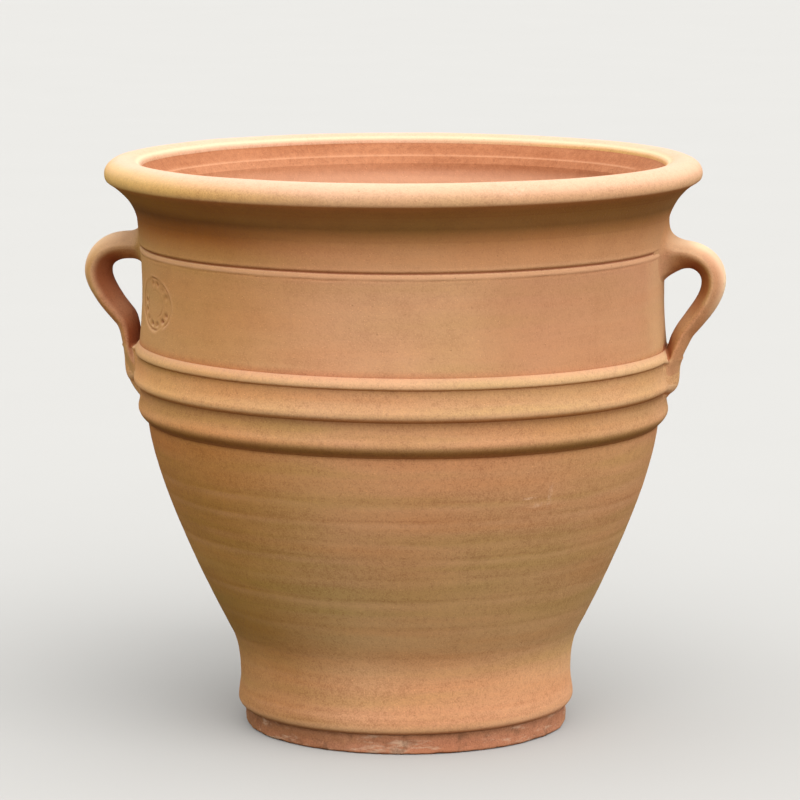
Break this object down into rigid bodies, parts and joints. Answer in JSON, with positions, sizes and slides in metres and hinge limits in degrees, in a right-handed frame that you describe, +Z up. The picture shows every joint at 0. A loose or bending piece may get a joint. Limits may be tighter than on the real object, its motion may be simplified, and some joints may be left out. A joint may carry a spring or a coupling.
{
  "type": "terracotta planter",
  "caption": "Large round hand-thrown planter with a rolled rim, a ribbed belt, a narrow foot with a drain hole and two strap handles.",
  "frame": {"origin": "centre of the underside, on the surface that the planter stands on", "axes": "+Z up along the planter's axis, +X through the right handle, +Y away from the viewer"},
  "size_m": [0.653, 0.6, 0.576],
  "materials": {
    "raw_base": "raw, gritty and soiled fired clay",
    "wall_clay": "unglazed, hand-thrown, matte and finely gritty",
    "rib_clay": "unglazed, hand-thrown, matte and finely gritty",
    "rim_clay": "unglazed, smoothed with a wet hand, matte",
    "handle_clay": "unglazed, pulled and smoothed by hand, matte"
  },
  "bodies": {
    "root": {"base_disc": "raw_base", "lower_wall": "wall_clay", "upper_wall": "wall_clay", "rib_lower": "rib_clay", "rib_middle": "rib_clay", "rib_upper": "rib_clay", "rim_bead": "rim_clay", "rim_coil": "rim_clay", "upper_pad_right": "handle_clay", "upper_pad_left": "handle_clay", "handle_right": "handle_clay", "handle_left": "handle_clay", "lower_pad_right": "handle_clay", "lower_pad_left": "handle_clay"}
  },
  "joints": []
}
